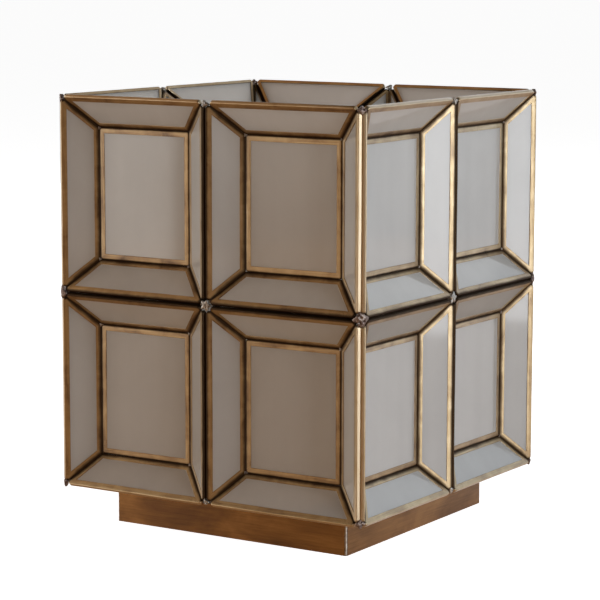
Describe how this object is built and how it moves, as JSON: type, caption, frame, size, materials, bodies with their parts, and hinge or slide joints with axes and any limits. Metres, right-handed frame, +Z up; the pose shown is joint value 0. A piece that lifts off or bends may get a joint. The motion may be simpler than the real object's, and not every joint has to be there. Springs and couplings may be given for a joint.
{
  "type": "faceted glass and brass candle lantern",
  "caption": "Square open-topped candle lantern: walls of inverted-pyramid cells of frosted glass in soldered brass cames, on a low inset brass plinth.",
  "frame": {"origin": "centre of the plinth's underside", "axes": "+Z up, front wall towards -Y, right wall towards +X"},
  "size_m": [0.1996, 0.1996, 0.2445],
  "materials": {
    "frosted_glass": "satin, acid-etched",
    "came_brass": "aged, rounded channel",
    "sheet_brass": "smooth sheet with patina",
    "solder": "lumpy tin solder"
  },
  "bodies": {
    "root": {"front_lower_left_cames": "came_brass", "front_lower_left_center_pane": "frosted_glass", "front_lower_left_sloping_panes": "frosted_glass", "front_lower_right_cames": "came_brass", "front_lower_right_center_pane": "frosted_glass", "front_lower_right_sloping_panes": "frosted_glass", "front_upper_left_cames": "came_brass", "front_upper_left_center_pane": "frosted_glass", "front_upper_left_sloping_panes": "frosted_glass", "front_upper_right_cames": "came_brass", "front_upper_right_center_pane": "frosted_glass", "front_upper_right_sloping_panes": "frosted_glass", "right_lower_left_cames": "came_brass", "right_lower_left_center_pane": "frosted_glass", "right_lower_left_sloping_panes": "frosted_glass", "right_lower_right_cames": "came_brass", "right_lower_right_center_pane": "frosted_glass", "right_lower_right_sloping_panes": "frosted_glass", "right_upper_left_cames": "came_brass", "right_upper_left_center_pane": "frosted_glass", "right_upper_left_sloping_panes": "frosted_glass", "right_upper_right_cames": "came_brass", "right_upper_right_center_pane": "frosted_glass", "right_upper_right_sloping_panes": "frosted_glass", "back_lower_left_cames": "came_brass", "back_lower_left_center_pane": "frosted_glass", "back_lower_left_sloping_panes": "frosted_glass", "back_lower_right_cames": "came_brass", "back_lower_right_center_pane": "frosted_glass", "back_lower_right_sloping_panes": "frosted_glass", "back_upper_left_cames": "came_brass", "back_upper_left_center_pane": "frosted_glass", "back_upper_left_sloping_panes": "frosted_glass", "back_upper_right_cames": "came_brass", "back_upper_right_center_pane": "frosted_glass", "back_upper_right_sloping_panes": "frosted_glass", "left_lower_left_cames": "came_brass", "left_lower_left_center_pane": "frosted_glass", "left_lower_left_sloping_panes": "frosted_glass", "left_lower_right_cames": "came_brass", "left_lower_right_center_pane": "frosted_glass", "left_lower_right_sloping_panes": "frosted_glass", "left_upper_left_cames": "came_brass", "left_upper_left_center_pane": "frosted_glass", "left_upper_left_sloping_panes": "frosted_glass", "left_upper_right_cames": "came_brass", "left_upper_right_center_pane": "frosted_glass", "left_upper_right_sloping_panes": "frosted_glass", "cell_solder_joints": "solder", "corner_solder_joints": "solder", "floor_plate": "sheet_brass", "plinth_corner_seams": "solder", "plinth_bottom": "sheet_brass", "plinth_front": "sheet_brass", "plinth_right": "sheet_brass", "plinth_back": "sheet_brass", "plinth_left": "sheet_brass"}
  },
  "joints": []
}
